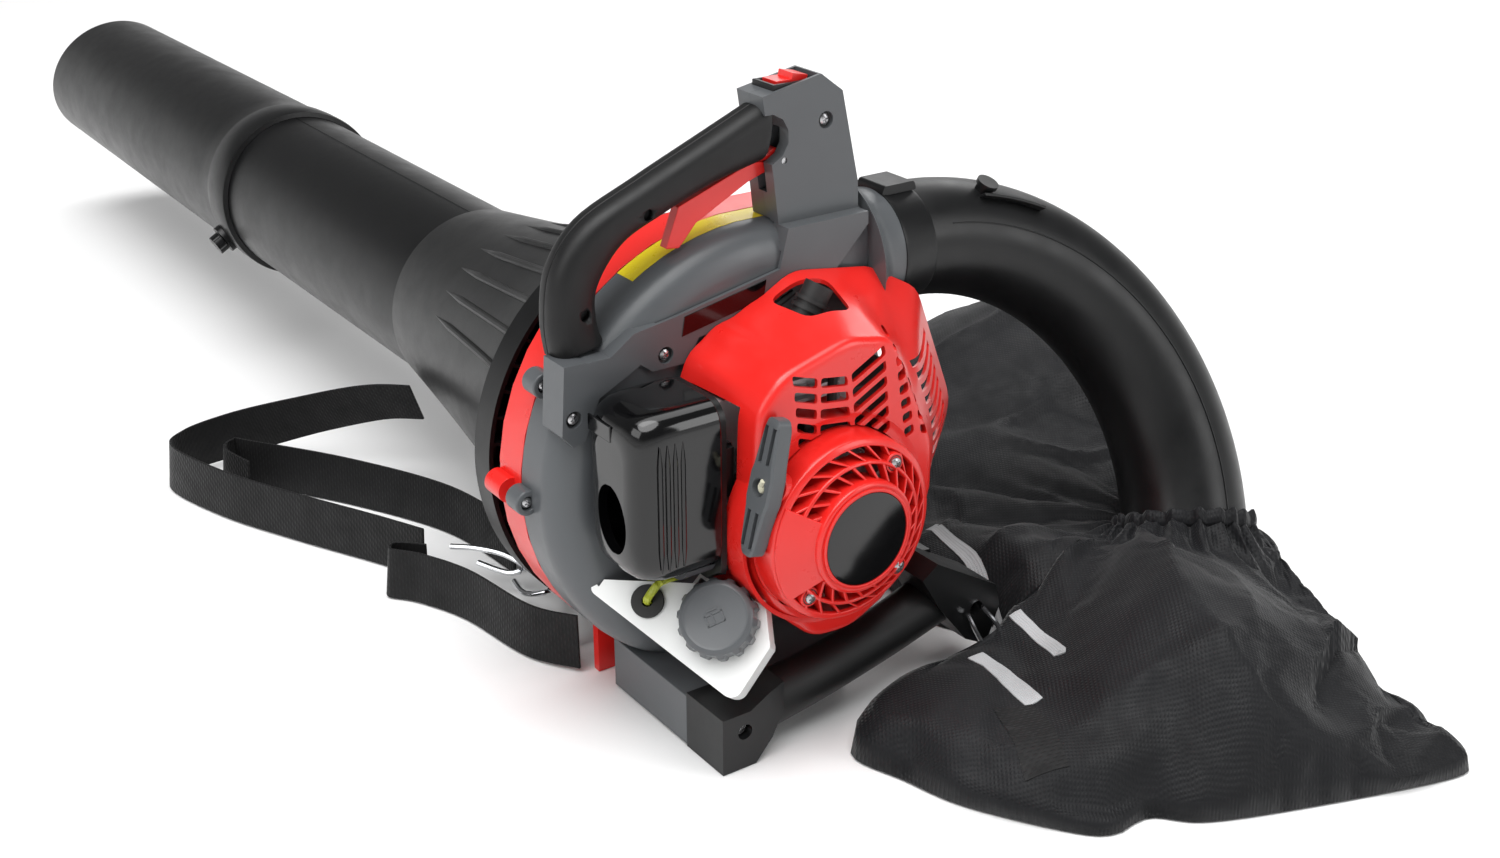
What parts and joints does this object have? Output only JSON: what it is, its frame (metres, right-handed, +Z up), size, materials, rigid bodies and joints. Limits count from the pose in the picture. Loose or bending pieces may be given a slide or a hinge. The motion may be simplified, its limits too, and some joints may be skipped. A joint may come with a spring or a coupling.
{
  "type": "petrol blower vacuum",
  "caption": "Hand-held petrol blower-vacuum with a long suction tube, volute fan, outlet elbow, collection bag, carrying handle and shoulder strap.",
  "frame": {"origin": "on the sole of the foot, straight below the fan axis", "axes": "+X along the fan axis towards the starter, +Y towards the outlet, +Z up"},
  "size_m": [1.5837, 0.7572, 0.3874],
  "materials": {
    "red_shell": "signal red moulded plastic",
    "grey_plastic": "dark grey moulded plastic",
    "black_plastic": "black satin moulded plastic",
    "tube_plastic": "black blow-moulded polythene",
    "grip_rubber": "black soft-touch grip",
    "gloss_black": "high-gloss black",
    "aluminium": "die-cast, as cast",
    "steel": "machined steel",
    "chrome": "bright plated",
    "dark_steel": "heat-resistant dark grey",
    "tank_white": "translucent white polythene",
    "fuel_hose": "yellow-green translucent hose",
    "bag_cloth": "black woven polyester",
    "webbing": "black woven webbing",
    "rope": "braided cord",
    "foam": "open-cell foam",
    "ceramic": "glazed ceramic",
    "primer": "translucent rubber bulb",
    "rubber": "black rubber"
  },
  "bodies": {
    "root": {"intake_shell": "red_shell", "engine_side_shell": "grey_plastic", "volute_screws": "steel", "tube_hood": "tube_plastic", "near_tube": "tube_plastic", "far_tube": "tube_plastic", "outlet_elbow": "tube_plastic", "collection_bag": "bag_cloth", "bag_clip": "chrome", "handle_frame_right": "grey_plastic", "handle_frame_left": "grey_plastic", "grip_right": "grip_rubber", "grip_left": "grip_rubber", "handle_screws": "chrome", "trigger_pin": "steel", "switch_bezel": "black_plastic", "rocker_pin": "steel", "throttle_cable": "rubber", "aux_handle": "grip_rubber", "aux_rear_bracket": "black_plastic", "aux_front_bracket": "black_plastic", "aux_bolts": "steel", "crankcase": "aluminium", "crank_bearings": "steel", "engine_cylinder": "aluminium", "spark_plug": "ceramic", "plug_boot": "rubber", "ignition_coil": "black_plastic", "ht_lead": "rubber", "muffler": "dark_steel", "carburettor": "aluminium", "filter_base": "black_plastic", "filter_foam": "foam", "filter_cover": "gloss_black", "fuel_tank": "tank_white", "tank_grommet": "rubber", "fuel_line": "fuel_hose", "engine_cover": "red_shell", "starter_housing": "red_shell", "starter_screws": "chrome", "starter_badge": "gloss_black", "recoil_spring": "steel", "shoulder_strap": "webbing", "strap_hook": "chrome"},
    "crank": {"crankshaft": "steel", "flywheel": "aluminium", "impeller": "black_plastic", "impeller_nut": "steel", "shredder_blade": "steel"},
    "piston": {"piston": "aluminium"},
    "trigger": {"trigger": "red_shell"},
    "rocker": {"stop_rocker": "red_shell"},
    "pulley": {"starter_pulley": "black_plastic"},
    "pull_grip": {"starter_grip": "grey_plastic", "starter_rope": "rope"},
    "cap": {"fuel_cap": "grey_plastic"},
    "choke": {"choke_lever": "black_plastic"},
    "primer": {"primer_bulb": "primer"},
    "knob": {"tube_knob": "black_plastic"}
  },
  "joints": [
    {"name": "crank_spin", "type": "hinge", "parent": "root", "child": "crank", "pos_m": [0, 0, 0.146], "axis": [1, 0, 0], "continuous": true},
    {"name": "piston_slide", "type": "slide", "parent": "root", "child": "piston", "axis": [0, 0, -1], "range_m": [0, 0.028]},
    {"name": "trigger_pull", "type": "hinge", "parent": "root", "child": "trigger", "pos_m": [0.04, 0.024, 0.338], "axis": [-1, 0, 0], "range_deg": [0, 12], "stiffness_Nm_per_rad": 0.15, "springref_deg": -22.92},
    {"name": "rocker_tilt", "type": "hinge", "parent": "root", "child": "rocker", "pos_m": [0.04, 0.033, 0.379], "axis": [1, 0, 0], "range_deg": [-9, 9]},
    {"name": "starter_pull", "type": "slide", "parent": "root", "child": "pull_grip", "axis": [0, -0.9397, 0.342], "range_m": [0, 0.6], "stiffness_N_per_m": 10, "springref_m": -0.5},
    {"name": "pulley_turn", "type": "hinge", "parent": "root", "child": "pulley", "pos_m": [0.145, 0, 0.146], "axis": [1, 0, 0], "range_deg": [0, 1925]},
    {"name": "cap_turn", "type": "hinge", "parent": "root", "child": "cap", "pos_m": [0.12094, -0.06941, 0.09253], "axis": [0.5504, -0.5915, 0.5892], "range_deg": [0, 540]},
    {"name": "choke_turn", "type": "hinge", "parent": "root", "child": "choke", "pos_m": [0.104, -0.059, 0.196], "axis": [1, 0, 0], "range_deg": [0, 60]},
    {"name": "primer_press", "type": "slide", "parent": "root", "child": "primer", "axis": [0, 0, 1], "range_m": [0, 0.004], "stiffness_N_per_m": 400, "springref_m": -0.002},
    {"name": "knob_turn", "type": "hinge", "parent": "root", "child": "knob", "pos_m": [-0.681, -0.06842, 0.1065], "axis": [0, -0.866, -0.5], "range_deg": [0, 180]}
  ],
  "couplings": [
    {"joint": "pulley_turn", "follows": "starter_pull", "rad_per_m": 55.866}
  ]
}
